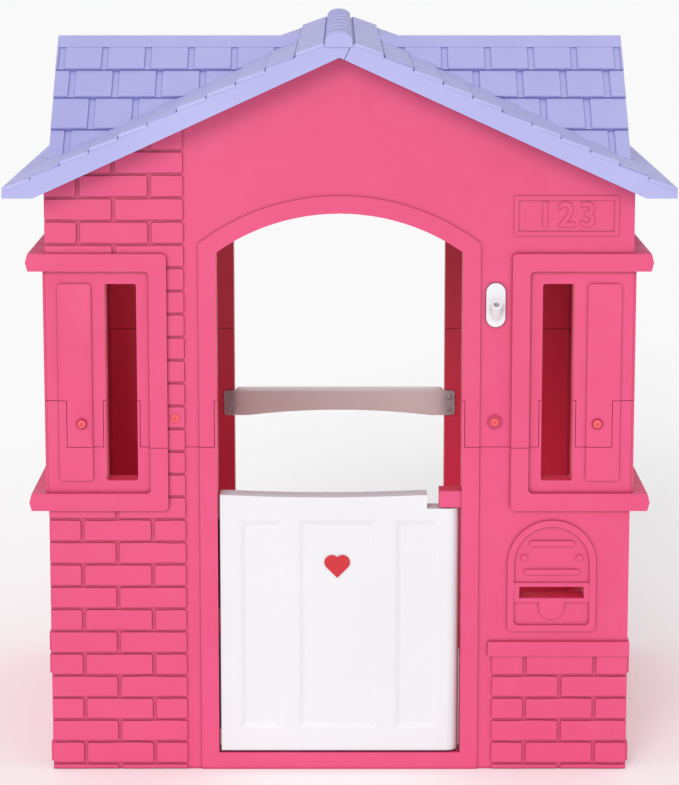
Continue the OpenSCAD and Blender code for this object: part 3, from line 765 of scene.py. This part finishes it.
def loose_solids(name):
    """The points of each separate solid in a node."""
    mesh = frame["nodes"][name].data
    places = {}
    parent = {}

    def root(key):
        while parent[key] != key:
            key = parent[key]
        return key

    def key_of(vertex):
        return tuple(round(c / SAME_POINT) for c in vertex.co)

    for vertex in mesh.vertices:
        places.setdefault(key_of(vertex), vertex.co.copy())
        parent.setdefault(key_of(vertex), key_of(vertex))
    for edge in mesh.edges:
        a, b = (root(key_of(mesh.vertices[v])) for v in edge.vertices)
        parent[a] = b
    groups = {}
    for key, place in places.items():
        groups.setdefault(root(key), []).append(place)
    return [groups[key] for key in sorted(groups)]


def head_of(points):
    """Centre, outward axis and radius of a screw's head, found from the wider end of its solid."""
    low = Vector([min(p[i] for p in points) for i in range(3)])
    high = Vector([max(p[i] for p in points) for i in range(3)])
    along = max(range(3), key=lambda i: high[i] - low[i])
    middle = (low + high) / 2
    best = None
    for sign, level in ((-1, low[along]), (1, high[along])):
        end = [p for p in points if abs(p[along] - level) < SAME_LEVEL]
        radius = max(math.dist([p[i] for i in range(3) if i != along],
                               [middle[i] for i in range(3) if i != along]) for p in end)
        if best is None or radius > best[2]:
            centre = middle.copy()
            centre[along] = level
            axis = Vector((0, 0, 0))
            axis[along] = sign
            best = (centre, axis, radius)
    return best


def hexagon(a):
    """Radius of a hexagon in direction a, 1 at its corners."""
    return math.cos(math.pi / 6) / math.cos((a % (math.pi / 3)) - math.pi / 6)


def screw_domes(node, slot_name):
    """Domed faces with a hexagon recess, on the heads of a node's screws."""
    mesh = Mesh()
    for points in loose_solids(node):
        centre, axis, r = head_of(points)
        profile = [(r * DOME_RIM, -DOME_SINK)] + [(r * across, r * up) for across, up in DOME_PROFILE]
        rings = mesh.turned(centre, axis, profile, hexagon, DOME_STEPS)
        mesh.close(rings[-1])
        mesh.close(reversed(rings[0]))
    mesh.piece(node + "_domes", HOUSE, slot_name)


def moulded_rings(node, name):
    """The raised ring moulded in the wall around each lap screw."""
    mesh = Mesh()
    for points in loose_solids(node):
        centre, axis, _ = head_of(points)
        outer = WIDE_RING if abs(centre.x) < WIDE_RINGS_TO else SLIM_RING
        profile = [(outer - inward * MM, up * MM) for inward, up in RING_PROFILE]
        rings = mesh.turned(centre - axis * RING_DEPTH, axis, profile)
        mesh.bridge(rings[-1], rings[0])
    mesh.piece(name, HOUSE, "wall_plastic")


def numerals():
    """Plain raised numerals on the plaque, from Blender's own font."""
    text = bpy.data.curves.new("numerals", "FONT")
    text.body = "123"
    text.align_x = "CENTER"
    text.align_y = "CENTER"
    text.size = NUMERAL_SIZE
    text.space_character = NUMERAL_SPACING
    text.offset = NUMERAL_SWELL
    text.extrude = NUMERAL_RISE
    text.bevel_depth = NUMERAL_BEVEL
    text.bevel_resolution = 2
    source = bpy.data.objects.new("numerals_source", text)
    bpy.context.scene.collection.objects.link(source)
    bpy.context.view_layer.update()
    data = bpy.data.meshes.new_from_object(source.evaluated_get(bpy.context.evaluated_depsgraph_get()))
    bpy.data.objects.remove(source)
    data.transform(Matrix.Translation(PLAQUE_MIDDLE) @ Matrix.Rotation(math.radians(90), 4, "X"))
    data.materials.clear()
    data.materials.append(PINK)
    piece = bpy.data.objects.new("plaque_numerals", data)
    bpy.context.scene.collection.objects.link(piece)
    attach(piece, HOUSE)


def door_panel_borders():
    """The wide soft slope around each sunk panel, on both faces of the door."""
    mesh = Mesh()
    low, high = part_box("door")
    for origin, across in (((0, low.y, 0), (1, 0, 0)), ((0, high.y, 0), (-1, 0, 0))):
        face = Face(origin, across, (0, 0, 1))
        sign = 1 if across[0] > 0 else -1
        for x0, x1 in PANEL_SPANS:
            u0, u1 = sorted((sign * x0, sign * x1))
            outline = rounded(u0, PANEL_LOW, u1, PANEL_HIGH, PANEL_CORNER)
            foot = inset(outline, -FOOT_OUT)
            rings = [mesh.ring([face.point(u, v, -PANEL_SINK - FOOT_SINK) for u, v in foot])]
            for step in range(BORDER_STEPS + 1):
                t = step / BORDER_STEPS
                level = -PANEL_SINK * (0.5 - 0.5 * math.cos(math.pi * t)) - TOP_SINK
                moved = inset(outline, BORDER_W * t - FOOT_OUT * (1 - t))
                rings.append(mesh.ring([face.point(u, v, level) for u, v in moved]))
            for inner, outer in zip(rings, rings[1:]):
                mesh.bridge(inner, outer)
            mesh.bridge(rings[-1], rings[0])
    mesh.piece("door_panel_borders", DOOR, "white_plastic")


door_panel_borders()
for where in ("front", "back", "left", "right"):
    screw_domes(where + "_lap_screws", "coral_plastic")
for where in ("front", "back"):
    moulded_rings(where + "_lap_screws", where + "_screw_rings")
screw_domes("crossbar_screws", "screw_steel")
screw_domes("flag_holder_screws", "screw_steel")
numerals()


# ---------------------------------------------------------------- studio

FLOOR_SIZE = 600
FLOOR_GLOW = 0.1
WHITE_LIGHT = (1, 1, 1, 1)
SKY = 0.74
KEY = 1.15
KEY_ANGLE = math.radians(28)
KEY_AIM = Vector((0.26, 0.86, -0.44))
LENS = 120.4
LENS_SHIFT = -0.1136
CAMERA_PLACE = (0, -4.801, 1.528)
CAMERA_DIP = 9.06


def studio():
    """A pale paper floor, an even white sky and one soft sun from the front left."""
    bpy.ops.mesh.primitive_plane_add(size=FLOOR_SIZE, location=(0, 0, 0))
    floor = bpy.context.object
    floor.name = "studio_floor"
    s = Shader("studio_paper")
    s.link(s.mix(s.noise(1.5), (0.96, 0.96, 0.965), (0.94, 0.94, 0.945)), s.surface.inputs["Base Color"])
    s.surface.inputs["Roughness"].default_value = 0.9
    s.surface.inputs["Emission Color"].default_value = WHITE_LIGHT
    s.surface.inputs["Emission Strength"].default_value = FLOOR_GLOW
    floor.data.materials.append(s.material)
    world = bpy.data.worlds.new("studio")
    bpy.context.scene.world = world
    world.use_nodes = True
    sky = world.node_tree.nodes["Background"]
    sky.inputs["Color"].default_value = WHITE_LIGHT
    sky.inputs["Strength"].default_value = SKY
    key = bpy.data.objects.new("key", bpy.data.lights.new("key", "SUN"))
    key.data.energy = KEY
    key.data.angle = KEY_ANGLE
    key.rotation_euler = KEY_AIM.to_track_quat("-Z", "Y").to_euler()
    bpy.context.scene.collection.objects.link(key)
    bpy.context.scene.view_settings.view_transform = "Standard"


def camera():
    """The photograph's angle: higher than the ridge, nearly 5 m away, looking down a little."""
    cam = bpy.data.objects.new("camera", bpy.data.cameras.new("camera"))
    cam.data.lens = LENS
    cam.data.shift_y = LENS_SHIFT
    cam.location = CAMERA_PLACE
    cam.rotation_euler = (math.radians(90 - CAMERA_DIP), 0, 0)
    bpy.context.scene.collection.objects.link(cam)
    bpy.context.scene.camera = cam


studio()
camera()
